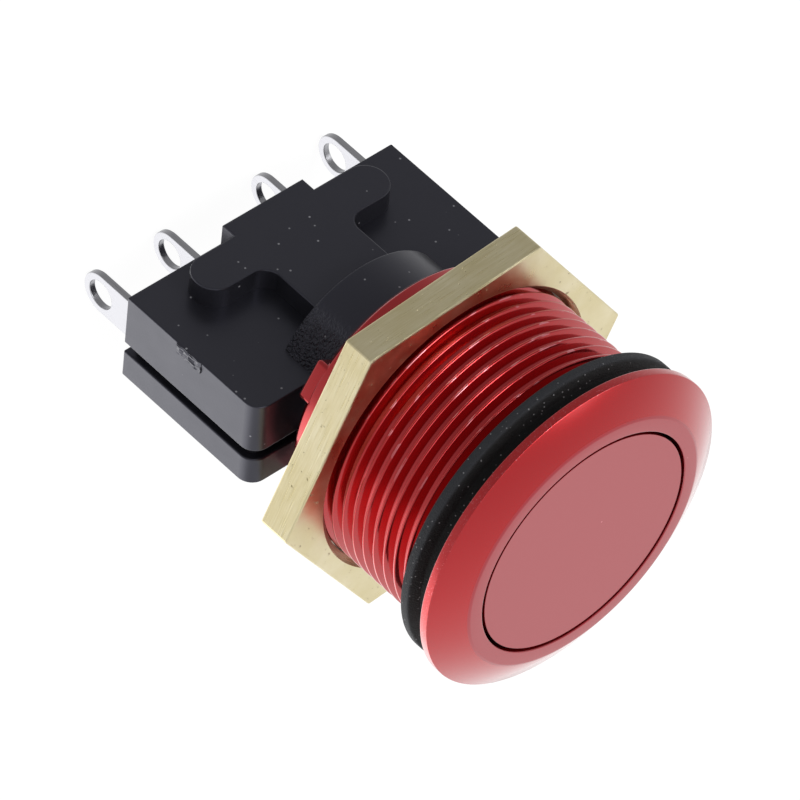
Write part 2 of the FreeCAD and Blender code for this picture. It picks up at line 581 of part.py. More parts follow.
for side, x, span in SIDES:
    if side == "closed":
        arm_x = (f"{x} - post_width / 2", "-return_spring_dia / 2 - return_spring_wire")
    else:
        arm_x = ("return_spring_dia / 2 + return_spring_wire", f"{x} + post_width / 2")
    rear_post, front_post = POSTS[side]
    carrier_pieces.append(block(f"carrier_{side}_arm", arm_x, (CARRIER_LOW, "-arm_top"),
                                (rear_post[0], front_post[1])))
    post_x = (f"{x} - post_width / 2", f"{x} + post_width / 2")
    for place, post in (("rear", rear_post), ("front", front_post)):
        carrier_pieces.append(block(f"carrier_{side}_{place}_post", post_x, ("-arm_top", "post_top"), post))
keep("contact_carrier", fused("contact_carrier", *carrier_pieces))

keep("closed_contact_spring", coil("closed_contact_spring", "contact_spring_dia", "contact_spring_wire",
                                   CLOSED_REAR_POST, f"{CLOSED_BRIDGE} - bridge_thickness",
                                   "contact_spring_turns", "(-left_pair)", "tag_centre"))
keep("open_contact_spring", coil("open_contact_spring", "contact_spring_dia", "contact_spring_wire",
                                 f"{OPEN_BRIDGE} + bridge_thickness", OPEN_FRONT_POST,
                                 "contact_spring_turns", "right_pair", "tag_centre"))

# Return spring between the carrier and the block's rear wall.
keep("return_spring", coil("return_spring", "return_spring_dia", "return_spring_wire", INNER_REAR, SPINE_REAR,
                           "return_spring_turns"))

doc.recompute()
for thing in doc.Objects:
    if {"Invalid", "Error"} & set(thing.State):
        raise RuntimeError(f"{thing.Label} did not build: {thing.State}")
for node, piece in pieces.items():
    if piece.Shape.isNull() or not piece.Shape.isValid():
        raise RuntimeError(f"{node} has no valid shape")
os.makedirs("parts", exist_ok=True)
for node, piece in pieces.items():
    piece.Shape.exportStep(os.path.join("parts", node + ".step"))
    print(f"{node}: {len(piece.Shape.Solids)} solid, {piece.Shape.Volume:.2f} mm3")
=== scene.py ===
"""Vandal resistant push button: red anodised housing and cap, rubber gasket, brass nut, black switch block.

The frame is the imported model's own: the origin on the button's axis in the panel's face, +Z out of the cap,
+X along the solder tags, +Y to the raised side of the block. Sizes are in millimetres until they meet a mesh.
"""
import bpy
import math
from mathutils import Matrix, Vector


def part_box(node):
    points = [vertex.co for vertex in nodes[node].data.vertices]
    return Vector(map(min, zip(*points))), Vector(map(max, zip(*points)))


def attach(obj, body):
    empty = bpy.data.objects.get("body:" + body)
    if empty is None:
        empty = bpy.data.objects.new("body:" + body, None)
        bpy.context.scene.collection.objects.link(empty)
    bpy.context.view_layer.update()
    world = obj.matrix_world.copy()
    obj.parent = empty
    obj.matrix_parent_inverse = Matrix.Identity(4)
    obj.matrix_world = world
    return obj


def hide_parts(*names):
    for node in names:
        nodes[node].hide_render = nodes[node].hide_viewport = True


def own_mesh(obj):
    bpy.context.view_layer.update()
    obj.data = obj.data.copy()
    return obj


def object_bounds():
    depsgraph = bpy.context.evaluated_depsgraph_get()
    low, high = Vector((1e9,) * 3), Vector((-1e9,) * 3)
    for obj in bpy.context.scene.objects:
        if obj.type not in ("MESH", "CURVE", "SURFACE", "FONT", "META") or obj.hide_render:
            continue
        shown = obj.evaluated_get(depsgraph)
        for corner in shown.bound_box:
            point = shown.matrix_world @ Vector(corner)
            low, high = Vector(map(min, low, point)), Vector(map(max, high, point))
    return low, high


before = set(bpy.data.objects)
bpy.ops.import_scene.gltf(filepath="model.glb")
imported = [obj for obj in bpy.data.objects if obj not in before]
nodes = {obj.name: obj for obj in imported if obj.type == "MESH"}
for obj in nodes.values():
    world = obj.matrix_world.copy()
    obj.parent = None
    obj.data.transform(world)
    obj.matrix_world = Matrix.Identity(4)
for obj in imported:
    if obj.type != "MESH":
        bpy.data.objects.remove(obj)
cad_low, cad_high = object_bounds()
MM = 0.001

# Housing: the bezel, the threaded barrel and the tail are one piece of aluminium, turned from bar.
# The panel thread is cut on the lathe, then the whole piece is dyed red and anodised.
# Four lugs on the tail's end key the switch block against turning.
THREAD_PITCH = 1.0
THREAD_CREST_RADIUS = 10.88
THREAD_ROOT_RADIUS = 10.3
THREAD_TURNS = 11
THREAD_END = -11.05
CAP_HOLE_RADIUS = 8.85
FRONT_RING_RADIUS = 9.9
RIM_HEIGHT = 0.63
LUG_WIDTH = 3.0
LUG_HEIGHT = 0.6
LUG_ANGLES = (32, 148, 212, 328)
TAIL_RADIUS = 9.45
TAIL_ROUND = 0.4
TAIL_BORE_RADIUS = 7.4
BARREL_END = -11.3
SHOULDER = -9.5
SHOULDER_RADIUS = 6.0
WEB_REAR = -5.2
WEB_FRONT = -3.2
STEM_HOLE_RADIUS = 2.45
TURNING_STEPS = 192

housing_low, housing_high = (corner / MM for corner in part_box("housing"))
gasket_low, gasket_high = (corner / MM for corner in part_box("panel_gasket"))
bezel_radius = housing_high.x
bezel_front = housing_high.z
bezel_back = gasket_high.z
tail_end = housing_low.z + LUG_HEIGHT


def turn(name, section, closed):
    """Turn a section of (radius, height) corners, ring by ring, and close its loop or its two ends."""
    bpy.ops.object.select_all(action="DESELECT")
    radius, height = section[0]
    bpy.ops.mesh.primitive_circle_add(vertices=TURNING_STEPS, radius=radius * MM,
                                      location=(0, 0, height * MM))
    piece = bpy.context.object
    piece.name = name
    bpy.ops.object.transform_apply(location=True)
    bpy.ops.object.mode_set(mode="EDIT")
    if not closed:
        bpy.ops.mesh.edge_face_add()
    for next_radius, next_height in section[1:] + section[:1] * closed:
        bpy.ops.mesh.extrude_region_move(
            TRANSFORM_OT_translate={"value": (0, 0, (next_height - height) * MM)})
        wider = next_radius / radius
        bpy.ops.transform.resize(value=(wider, wider, 1), center_override=(0, 0, next_height * MM))
        radius, height = next_radius, next_height
    bpy.ops.mesh.select_all(action="SELECT")
    bpy.ops.mesh.remove_doubles(threshold=0.0005 * MM)
    bpy.ops.mesh.normals_make_consistent(inside=False)
    bpy.ops.object.mode_set(mode="OBJECT")
    return piece


def apply_modifier(piece, kind, **settings):
    """Add one modifier to a piece with its settings and apply it."""
    bpy.context.view_layer.objects.active = piece
    modifier = piece.modifiers.new(kind.lower(), kind)
    for name, setting in settings.items():
        setattr(modifier, name, setting)
    bpy.ops.object.modifier_apply(modifier=modifier.name)


def join_or_cut(piece, tool, operation):
    """Unite a tool with a piece, or cut it out of the piece, and take the tool away."""
    apply_modifier(piece, "BOOLEAN", object=tool, operation=operation, solver="EXACT")
    bpy.data.objects.remove(tool)


def ease_edges(piece, width, steps=2, sharper_than=35):
    """Break the sharp edges of a piece by a small round."""
    apply_modifier(piece, "BEVEL", width=width * MM, segments=steps, limit_method="ANGLE",
                   angle_limit=math.radians(sharper_than))


def smooth(piece, angle=10):
    """Shade the rounds of a piece smooth, and keep its broad faces flat up to their eased edges."""
    bpy.ops.object.select_all(action="DESELECT")
    piece.select_set(True)
    bpy.context.view_layer.objects.active = piece
    bpy.ops.object.shade_smooth_by_angle(angle=math.radians(angle))


def block(name, low, high):
    """A box between two corners in millimetres."""
    low, high = Vector(low), Vector(high)
    bpy.ops.object.select_all(action="DESELECT")
    bpy.ops.mesh.primitive_cube_add(size=1, location=(low + high) / 2 * MM, scale=(high - low) * MM)
    piece = bpy.context.object
    piece.name = name
    bpy.ops.object.transform_apply(location=True, scale=True)
    return piece


housing = turn("housing_turned", [
    (CAP_HOLE_RADIUS, bezel_front), (FRONT_RING_RADIUS, bezel_front), (bezel_radius, bezel_back + RIM_HEIGHT),
    (bezel_radius, bezel_back), (THREAD_ROOT_RADIUS, bezel_back), (THREAD_ROOT_RADIUS, BARREL_END),
    (TAIL_RADIUS, BARREL_END), (TAIL_RADIUS, tail_end + TAIL_ROUND), (TAIL_RADIUS - TAIL_ROUND, tail_end),
    (TAIL_BORE_RADIUS, tail_end), (TAIL_BORE_RADIUS, SHOULDER), (SHOULDER_RADIUS, SHOULDER),
    (SHOULDER_RADIUS, WEB_REAR),
    (STEM_HOLE_RADIUS, WEB_REAR), (STEM_HOLE_RADIUS, WEB_FRONT), (CAP_HOLE_RADIUS, WEB_FRONT),
], closed=True)
ease_edges(housing, 0.06, sharper_than=20)

# The thread's ridge is one worn trapezium, wound round the barrel.
RIDGE_SUNK = 0.2
RIDGE_FOOT = 0.47
RIDGE_TOP = 0.07
bpy.ops.object.select_all(action="DESELECT")
bpy.ops.mesh.primitive_plane_add(size=1)
ridge = bpy.context.object
ridge_corners = ((THREAD_ROOT_RADIUS - RIDGE_SUNK, -RIDGE_FOOT), (THREAD_CREST_RADIUS, -RIDGE_TOP),
                 (THREAD_ROOT_RADIUS - RIDGE_SUNK, RIDGE_FOOT), (THREAD_CREST_RADIUS, RIDGE_TOP))
for vertex, (radius, height) in zip(ridge.data.vertices, ridge_corners):
    vertex.co = Vector((radius, 0, THREAD_END + RIDGE_FOOT + height)) * MM
bpy.ops.object.mode_set(mode="EDIT")
bpy.ops.mesh.select_all(action="SELECT")
bpy.ops.mesh.delete(type="ONLY_FACE")
bpy.ops.object.mode_set(mode="OBJECT")
apply_modifier(ridge, "SCREW", screw_offset=THREAD_PITCH * MM, iterations=THREAD_TURNS, steps=TURNING_STEPS,
               render_steps=TURNING_STEPS, use_merge_vertices=True, merge_threshold=0.0005 * MM)
bpy.ops.object.mode_set(mode="EDIT")
bpy.ops.mesh.select_all(action="SELECT")
bpy.ops.mesh.fill_holes(sides=0)
bpy.ops.mesh.select_all(action="SELECT")
bpy.ops.mesh.normals_make_consistent(inside=False)
bpy.ops.object.mode_set(mode="OBJECT")
ease_edges(ridge, 0.11, steps=5)
join_or_cut(housing, ridge, "UNION")

for lug_angle in LUG_ANGLES:
    lug = block("lug", (TAIL_BORE_RADIUS + 0.05, -LUG_WIDTH / 2, tail_end - LUG_HEIGHT),
                (TAIL_RADIUS - 0.05, LUG_WIDTH / 2, tail_end + LUG_HEIGHT))
    ease_edges(lug, 0.28, steps=6)
    lug.data.transform(Matrix.Rotation(math.radians(lug_angle), 4, "Z"))
    join_or_cut(housing, lug, "UNION")
smooth(housing, angle=21.5)


def linear(colour):
    """Linear RGBA of an sRGB hex colour."""
    parts = [int(colour[i:i + 2], 16) / 255 for i in (1, 3, 5)]
    return tuple(p / 12.92 if p <= 0.04045 else ((p + 0.055) / 1.055) ** 2.4 for p in parts) + (1.0,)


def add(tree, kind, inputs=None, **settings):
    """Add a node with its settings; an input is a value or another node's output."""
    new = tree.nodes.new(kind)
    for name, setting in settings.items():
        setattr(new, name, setting)
    for socket, given in (inputs or {}).items():
        if isinstance(given, bpy.types.NodeSocket):
            tree.links.new(given, new.inputs[socket])
        else:
            new.inputs[socket].default_value = given
    return new


def new_material(name):
    """An empty material with its surface node and its output."""
    material = bpy.data.materials.new(name)
    material.use_nodes = True
    tree = material.node_tree
    tree.nodes.clear()
    surface = add(tree, "ShaderNodeBsdfPrincipled")
    add(tree, "ShaderNodeOutputMaterial", {"Surface": surface.outputs["BSDF"]})
    return material, tree, surface


# Red anodised aluminium: a dyed oxide skin over bright metal. It gives a deep metallic red under a clear gloss,
# a duller red on the blasted front, turning marks drawn coarse enough to show, worn streaks on the thread's
# crests and pale specks on the rim.
TURNING_MARK = 0.12
SKIN_GRAIN = 0.08
CHIP_SIZE = 0.4
CHIP_STRETCH = 4
DUST_SPACING = 1.5
BLASTED_ABOVE = 4.15
red_anodised, tree, surface = new_material("red_anodised_aluminium")
place = add(tree, "ShaderNodeTexCoord").outputs["Object"]
split = add(tree, "ShaderNodeSeparateXYZ", {"Vector": place})
flat = add(tree, "ShaderNodeCombineXYZ", {"X": split.outputs["X"], "Y": split.outputs["Y"]})
radius = add(tree, "ShaderNodeVectorMath", {0: flat.outputs["Vector"]}, operation="LENGTH").outputs["Value"]
grain = add(tree, "ShaderNodeTexNoise", {"Vector": place, "Scale": 1 / (SKIN_GRAIN * MM), "Detail": 2.0})
blasted = add(tree, "ShaderNodeMapRange", {"Value": split.outputs["Z"], "From Min": BLASTED_ABOVE * MM,
                                           "From Max": (BLASTED_ABOVE + 0.03) * MM}).outputs["Result"]
red = add(tree, "ShaderNodeMix", {"Factor": blasted, "A": linear("#B00E16"), "B": linear("#A42832")},
          data_type="RGBA")
along = add(tree, "ShaderNodeMapping", {"Vector": place, "Scale": (1 / CHIP_STRETCH, 1 / CHIP_STRETCH, 1.0)})
chips = add(tree, "ShaderNodeTexNoise", {"Vector": along.outputs["Vector"], "Scale": 1 / (CHIP_SIZE * MM),
                                         "Detail": 1.5})
chipped = add(tree, "ShaderNodeMapRange", {"Value": chips.outputs["Fac"], "From Min": 0.59, "From Max": 0.62})
crest = add(tree, "ShaderNodeMapRange", {"Value": radius, "From Min": (THREAD_CREST_RADIUS - 0.08) * MM,
                                         "From Max": (THREAD_CREST_RADIUS - 0.04) * MM})
below_bezel = add(tree, "ShaderNodeMath", {0: split.outputs["Z"], 1: 0.0}, operation="LESS_THAN")
on_crest = add(tree, "ShaderNodeMath", {0: crest.outputs["Result"], 1: below_bezel.outputs["Value"]},
               operation="MULTIPLY")
on_rim = add(tree, "ShaderNodeMath", {0: radius, 1: (bezel_radius - 0.06) * MM}, operation="GREATER_THAN")
pitted = add(tree, "ShaderNodeMapRange", {"Value": grain.outputs["Fac"], "From Min": 0.64, "From Max": 0.68})
raised_side = add(tree, "ShaderNodeMapRange", {"Value": split.outputs["Y"], "From Min": 4 * MM,
                                               "From Max": 8 * MM})
crest_wear = add(tree, "ShaderNodeMath", {0: on_crest.outputs["Value"], 1: chipped.outputs["Result"]},
                 operation="MULTIPLY")
crest_wear = add(tree, "ShaderNodeMath", {0: crest_wear.outputs["Value"], 1: raised_side.outputs["Result"]},
                 operation="MULTIPLY")
rim_wear = add(tree, "ShaderNodeMath", {0: on_rim.outputs["Value"], 1: pitted.outputs["Result"]},
               operation="MULTIPLY")
wear = add(tree, "ShaderNodeMath", {0: crest_wear.outputs["Value"], 1: rim_wear.outputs["Value"]},
           operation="MAXIMUM")
dust = add(tree, "ShaderNodeTexVoronoi", {"Vector": place, "Scale": 1 / (DUST_SPACING * MM)})
speck = add(tree, "ShaderNodeMapRange", {"Value": dust.outputs["Distance"], "From Min": 0.05,
                                         "From Max": 0.03})
rare = add(tree, "ShaderNodeSeparateColor", {"Color": dust.outputs["Color"]})
chosen = add(tree, "ShaderNodeMath", {0: rare.outputs["Red"], 1: 0.8}, operation="GREATER_THAN")
dusty = add(tree, "ShaderNodeMath", {0: speck.outputs["Result"], 1: chosen.outputs["Value"]},
            operation="MULTIPLY")
dusty = add(tree, "ShaderNodeMath", {0: dusty.outputs["Value"], 1: blasted}, operation="MULTIPLY")
pale = add(tree, "ShaderNodeMath", {0: wear.outputs["Value"], 1: dusty.outputs["Value"]},
           operation="MAXIMUM")
worn_red = add(tree, "ShaderNodeMix", {"Factor": pale.outputs["Value"], "A": red.outputs["Result"],
                                       "B": linear("#D07078")}, data_type="RGBA")
marks = add(tree, "ShaderNodeMath", {0: radius, 1: 2 * math.pi / (TURNING_MARK * MM)}, operation="MULTIPLY")
wave = add(tree, "ShaderNodeMath", {0: marks.outputs["Value"]}, operation="SINE")
texture = add(tree, "ShaderNodeMath", {0: wave.outputs["Value"], 1: grain.outputs["Fac"]},
              operation="MULTIPLY")
relief = add(tree, "ShaderNodeBump", {"Height": texture.outputs["Value"], "Strength": 0.03,
                                      "Distance": 0.02 * MM})
satin = add(tree, "ShaderNodeMapRange", {"Value": split.outputs["Z"], "From Min": 0.0,
                                         "From Max": bezel_back * MM, "To Min": 0.13, "To Max": 0.25})
rough = add(tree, "ShaderNodeMapRange", {"Value": blasted, "To Min": satin.outputs["Result"],
                                         "To Max": 0.42})
for socket, given in (("Base Color", worn_red.outputs["Result"]), ("Roughness", rough.outputs["Result"]),
                      ("Normal", relief.outputs["Normal"])):
    tree.links.new(given, surface.inputs[socket])
surface.inputs["Metallic"].default_value = 0.85
surface.inputs["Coat Weight"].default_value = 0.85
surface.inputs["Coat Roughness"].default_value = 0.08
housing.data.materials.append(red_anodised)
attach(housing, "switch_body")
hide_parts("housing")

# Cap: the flush face that the finger presses, with its skirt and stem, turned from the same aluminium.
# Its edge is left sharp, and a hair-thin gap lets it slide in the bezel.
CAP_RADIUS = 8.6
RING_GROOVE = (2.89, 1.63)
GROOVE_RADIUS = 7.59
SKIRT_END = -1.1
POCKET_RADIUS = 6.8
POCKET_TOP = 2.59
STEM_RADIUS = 2.4
CLIP_GROOVE = (-5.22, -5.78)
CLIP_GROOVE_RADIUS = 1.8
cap_low, cap_high = (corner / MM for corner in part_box("cap"))
cap_front = cap_high.z
cap = turn("cap_turned", [
    (CAP_RADIUS, cap_front), (CAP_RADIUS, RING_GROOVE[0]),
    (GROOVE_RADIUS, RING_GROOVE[0]), (GROOVE_RADIUS, RING_GROOVE[1]), (CAP_RADIUS, RING_GROOVE[1]),
    (CAP_RADIUS, SKIRT_END), (POCKET_RADIUS, SKIRT_END), (POCKET_RADIUS, POCKET_TOP),
    (STEM_RADIUS, POCKET_TOP), (STEM_RADIUS, CLIP_GROOVE[0]), (CLIP_GROOVE_RADIUS, CLIP_GROOVE[0]),
    (CLIP_GROOVE_RADIUS, CLIP_GROOVE[1]), (STEM_RADIUS, CLIP_GROOVE[1]), (STEM_RADIUS, cap_low.z),
], closed=False)
ease_edges(cap, 0.015)
smooth(cap)
cap.data.materials.append(red_anodised)
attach(cap, "button")
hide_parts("cap")

# Panel gasket: a moulded rubber ring between the bezel and the panel.
# Its outer band lies on the panel, and a hollow neck runs from the band to the bezel.
GASKET_BORE_RADIUS = 10.95
GASKET_LIP = 0.7
GASKET_NECK_RADIUS = 11.3
GASKET_NECK_FOOT = 1.1
gasket = turn("gasket_moulded", [
    (GASKET_BORE_RADIUS, gasket_low.z), (gasket_high.x, gasket_low.z),
    (gasket_high.x, gasket_low.z + GASKET_LIP),
    (GASKET_NECK_RADIUS, gasket_low.z + GASKET_NECK_FOOT), (GASKET_NECK_RADIUS, gasket_high.z),
    (GASKET_BORE_RADIUS, gasket_high.z),
], closed=True)
ease_edges(gasket, 0.12, steps=3, sharper_than=15)
smooth(gasket, angle=32)

# Moulded rubber: a dark, dull skin with a fine even grain. The neck is painted near-black, a painted shade under
# the bezel, while the open band stays dark grey, and pale dust clings to the rubber. The grain is drawn coarser
# than the real one, so that it shows.
RUBBER_GRAIN = 0.1
RUBBER_DUST_SPACING = 0.3
black_rubber, tree, surface = new_material("moulded_rubber")
place = add(tree, "ShaderNodeTexCoord").outputs["Object"]
split = add(tree, "ShaderNodeSeparateXYZ", {"Vector": place})
grain = add(tree, "ShaderNodeTexNoise", {"Vector": place, "Scale": 1 / (RUBBER_GRAIN * MM), "Detail": 3.0})
relief = add(tree, "ShaderNodeBump", {"Height": grain.outputs["Fac"], "Strength": 0.8,
                                      "Distance": 0.12 * MM})
dust = add(tree, "ShaderNodeTexVoronoi", {"Vector": place, "Scale": 1 / (RUBBER_DUST_SPACING * MM)})
speck = add(tree, "ShaderNodeMapRange", {"Value": dust.outputs["Distance"], "From Min": 0.22,
                                         "From Max": 0.1})
rare = add(tree, "ShaderNodeSeparateColor", {"Color": dust.outputs["Color"]})
chosen = add(tree, "ShaderNodeMath", {0: rare.outputs["Red"], 1: 0.55}, operation="GREATER_THAN")
dusty = add(tree, "ShaderNodeMath", {0: speck.outputs["Result"], 1: chosen.outputs["Value"]},
            operation="MULTIPLY")
# The mask by height leaves the neck painted near-black: painted shade where the bezel overhangs the rubber.
band_out_of_painted_shade = add(tree, "ShaderNodeMapRange", {"Value": split.outputs["Z"], "From Min": (GASKET_LIP + 0.1) * MM,
                                        "From Max": (GASKET_LIP - 0.05) * MM})
skin_with_painted_neck_shade = add(tree, "ShaderNodeMix", {"Factor": band_out_of_painted_shade.outputs["Result"], "A": linear("#060607"),
                                   "B": linear("#26272B")}, data_type="RGBA")
black = add(tree, "ShaderNodeMix", {"Factor": dusty.outputs["Value"], "A": skin_with_painted_neck_shade.outputs["Result"],
                                    "B": linear("#747476")}, data_type="RGBA")
tree.links.new(black.outputs["Result"], surface.inputs["Base Color"])
tree.links.new(relief.outputs["Normal"], surface.inputs["Normal"])
surface.inputs["Roughness"].default_value = 0.6
surface.inputs["IOR"].default_value = 1.52
surface.inputs["Specular IOR Level"].default_value = 0.22
gasket.data.materials.append(black_rubber)
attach(gasket, "switch_body")
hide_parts("panel_gasket")

# Nut: a flat hexagon sawn from brass bar, bored, countersunk and threaded, with sharp edges left on it.
# It clamps the panel from behind.
NUT_FLATS = 25.3
NUT_TURN = 5.3
NUT_BORE_RADIUS = 10.95
NUT_COUNTERSINK = 0.45
nut_low, nut_high = (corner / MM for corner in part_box("hex_nut"))
bpy.ops.object.select_all(action="DESELECT")
bpy.ops.mesh.primitive_cylinder_add(
    vertices=6, radius=NUT_FLATS / math.sqrt(3) * MM, depth=(nut_high.z - nut_low.z) * MM,
    location=(0, 0, (nut_high.z + nut_low.z) / 2 * MM))
nut = bpy.context.object
nut.name = "nut_sawn"
bpy.ops.object.transform_apply(location=True)
first_corner = math.degrees(math.atan2(nut.data.vertices[0].co.y, nut.data.vertices[0].co.x))
nut.data.transform(Matrix.Rotation(math.radians(NUT_TURN - first_corner), 4, "Z"))
ease_edges(nut, 0.11)
nut_bore = turn("nut_bore", [
    (NUT_BORE_RADIUS + 2 * NUT_COUNTERSINK, nut_high.z + NUT_COUNTERSINK),
    (NUT_BORE_RADIUS, nut_high.z - NUT_COUNTERSINK), (NUT_BORE_RADIUS, nut_low.z + NUT_COUNTERSINK),
    (NUT_BORE_RADIUS + 2 * NUT_COUNTERSINK, nut_low.z - NUT_COUNTERSINK),
], closed=False)
join_or_cut(nut, nut_bore, "DIFFERENCE")
smooth(nut)

# Machined brass: pale yellow metal. Saw and tool lines blur what it mirrors and tint it in streaks, and dark
# nicks break its flats.
BRUSH_LENGTH = 2.0
BRUSH_WIDTH = 0.09
NICK_SIZE = 0.55
TARNISH_SIZE = 3
brass, tree, surface = new_material("machined_brass")
place = add(tree, "ShaderNodeTexCoord").outputs["Object"]
drawn = add(tree, "ShaderNodeMapping", {"Vector": place, "Scale": (BRUSH_WIDTH / BRUSH_LENGTH,) * 2 + (1.0,)})
lines = add(tree, "ShaderNodeTexNoise", {"Vector": drawn.outputs["Vector"], "Scale": 1 / (BRUSH_WIDTH * MM),
                                         "Detail": 3.0})
tarnish = add(tree, "ShaderNodeTexNoise", {"Vector": place, "Scale": 1 / (TARNISH_SIZE * MM), "Detail": 4.0})
streaks = add(tree, "ShaderNodeMath", {0: tarnish.outputs["Fac"], 1: lines.outputs["Fac"]},
              operation="MULTIPLY")
patchy = add(tree, "ShaderNodeMapRange", {"Value": streaks.outputs["Value"], "From Min": 0.1,
                                          "From Max": 0.45})
gold = add(tree, "ShaderNodeMix", {"Factor": patchy.outputs["Result"], "A": linear("#D0C397"),
                                   "B": linear("#E2D8B8")}, data_type="RGBA")
knocks = add(tree, "ShaderNodeTexNoise", {"Vector": place, "Scale": 1 / (NICK_SIZE * MM), "Detail": 5.0,
                                          "Roughness": 0.75})
nicked = add(tree, "ShaderNodeMapRange", {"Value": knocks.outputs["Fac"], "From Min": 0.64, "From Max": 0.7})
dull_gold = add(tree, "ShaderNodeMix", {"Factor": nicked.outputs["Result"], "A": gold.outputs["Result"],
                                        "B": linear("#8A7D58")}, data_type="RGBA")
rough = add(tree, "ShaderNodeMapRange", {"Value": lines.outputs["Fac"], "To Min": 0.2, "To Max": 0.42})
depth = add(tree, "ShaderNodeMath", {0: lines.outputs["Fac"], 1: nicked.outputs["Result"]},
            operation="SUBTRACT")
relief = add(tree, "ShaderNodeBump", {"Height": depth.outputs["Value"], "Strength": 0.7,
                                      "Distance": 0.03 * MM})
for socket, given in (("Base Color", dull_gold.outputs["Result"]), ("Roughness", rough.outputs["Result"]),
                      ("Normal", relief.outputs["Normal"])):
    tree.links.new(given, surface.inputs[socket])
surface.inputs["Metallic"].default_value = 1.0
nut.data.materials.append(brass)
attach(nut, "nut")
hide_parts("hex_nut")

# Base of the switch block: one black moulding with a cross-shaped boss, and the round collar that plugs
# into the housing's tail. The collar's shoulder keeps the spark-eroded grain of the mould.
base_low, base_high = (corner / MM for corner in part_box("switch_base"))
BLOCK_FRONT = -15.1
BLOCK_CORNER = 1.2
BASE_TOP = 3.34
BASE_LOW = -0.92
BOSS_HEIGHT = 1.75
BOSS_WAIST = 7.0
BOSS_REACH = 8.25
BOSS_ARM_WIDTH = 3.3
BOSS_SETBACK = 1.2
BOSS_FILLET = 1.2
COLLAR_RADIUS = 7.35
COLLAR_REAR = -18.2
SIDE_WALL = 0.9
END_WALL = 1.2
ROOF = 1.0
GUIDE_BORE_RADIUS = 2.25
TAG_SLOT = 0.28
TAG_SLOT_TOP = 2.43
block_rear = base_low.z
half_width = base_high.x
arm_rear = block_rear + BOSS_SETBACK
arm_front = arm_rear + BOSS_ARM_WIDTH


def pick(piece, kind, wanted):
    """Go to edit mode with only the wanted vertices or edges selected, by their corners in millimetres."""
    bpy.context.view_layer.objects.active = piece
    bpy.ops.object.mode_set(mode="EDIT")
    bpy.ops.mesh.select_mode(type=kind)
    bpy.ops.mesh.select_all(action="DESELECT")
    bpy.ops.object.mode_set(mode="OBJECT")
    corners = [vertex.co / MM for vertex in piece.data.vertices]
    if kind == "VERT":
        for vertex, corner in zip(piece.data.vertices, corners):
            vertex.select = wanted(corner)
    else:
        for edge in piece.data.edges:
            edge.select = wanted(*(corners[i] for i in edge.vertices))
    bpy.ops.object.mode_set(mode="EDIT")


def near(number, wanted):
    """Whether a measure in millimetres is the wanted one."""
    return abs(number - wanted) < 0.002


def round_off(piece, radius, steps, wanted, kind="EDGE"):
    """Round the wanted edges or corners of a piece."""
    pick(piece, kind, wanted)
    affect = "VERTICES" if kind == "VERT" else "EDGES"
    bpy.ops.mesh.bevel(offset=radius * MM, offset_type="OFFSET", segments=steps, profile=0.5, affect=affect)
    bpy.ops.object.mode_set(mode="OBJECT")


def rounded_block(name, low_y, high_y):
    """A slab of the block's outline with its two front corners rounded."""
    slab = block(name, (-half_width, low_y, block_rear), (half_width, high_y, BLOCK_FRONT))
    round_off(slab, BLOCK_CORNER, 10, lambda a, b: near(a.z, BLOCK_FRONT) and near(b.z, BLOCK_FRONT)
              and near(a.x, b.x))
    return slab


base = rounded_block("switch_base_moulded", BASE_LOW, BASE_TOP)
ease_edges(base, 0.09, steps=3)

bpy.ops.object.select_all(action="DESELECT")
bpy.ops.mesh.primitive_plane_add(
    size=1, location=Vector((0, BASE_TOP - BOSS_HEIGHT / 2, (block_rear + COLLAR_REAR) / 2)) * MM,
    rotation=(math.pi / 2, 0, 0))
boss = bpy.context.object
boss.name = "boss"
bpy.ops.object.transform_apply(location=True, rotation=True)
for vertex in boss.data.vertices:
    vertex.co.x = math.copysign(BOSS_WAIST / 2 * MM, vertex.co.x)
    vertex.co.z = (COLLAR_REAR if vertex.co.z > (block_rear + COLLAR_REAR) / 2 * MM else block_rear) * MM
bpy.ops.object.mode_set(mode="EDIT")
for cut in (arm_rear, arm_front):
    bpy.ops.mesh.select_all(action="SELECT")
    bpy.ops.mesh.bisect(plane_co=(0, 0, cut * MM), plane_no=(0, 0, 1))
for side in (-1, 1):
    pick(boss, "EDGE", lambda a, b: all(
        near(p.x, side * BOSS_WAIST / 2) and arm_rear - 0.01 < p.z < arm_front + 0.01 for p in (a, b)))
    bpy.ops.mesh.extrude_region_move(
        TRANSFORM_OT_translate={"value": (side * (BOSS_REACH - BOSS_WAIST / 2) * MM, 0, 0)})
bpy.ops.mesh.select_all(action="SELECT")
bpy.ops.mesh.dissolve_limited(angle_limit=math.radians(1))
bpy.ops.object.mode_set(mode="OBJECT")
round_off(boss, BOSS_ARM_WIDTH * 0.49, 10, lambda p: near(abs(p.x), BOSS_REACH), "VERT")
round_off(boss, BOSS_FILLET, 10, lambda p: near(p.z, arm_front) and near(abs(p.x), BOSS_WAIST / 2), "VERT")
bpy.ops.object.mode_set(mode="EDIT")
bpy.ops.mesh.select_all(action="SELECT")
bpy.ops.mesh.extrude_region_move(TRANSFORM_OT_translate={"value": (0, BOSS_HEIGHT * 1.5 * MM, 0)})
bpy.ops.mesh.select_all(action="SELECT")
bpy.ops.mesh.normals_make_consistent(inside=False)
bpy.ops.object.mode_set(mode="OBJECT")
boss_top = BASE_TOP + BOSS_HEIGHT
round_off(boss, 0.1, 2, lambda a, b: near(a.y, boss_top) and near(b.y, boss_top))
join_or_cut(base, boss, "UNION")

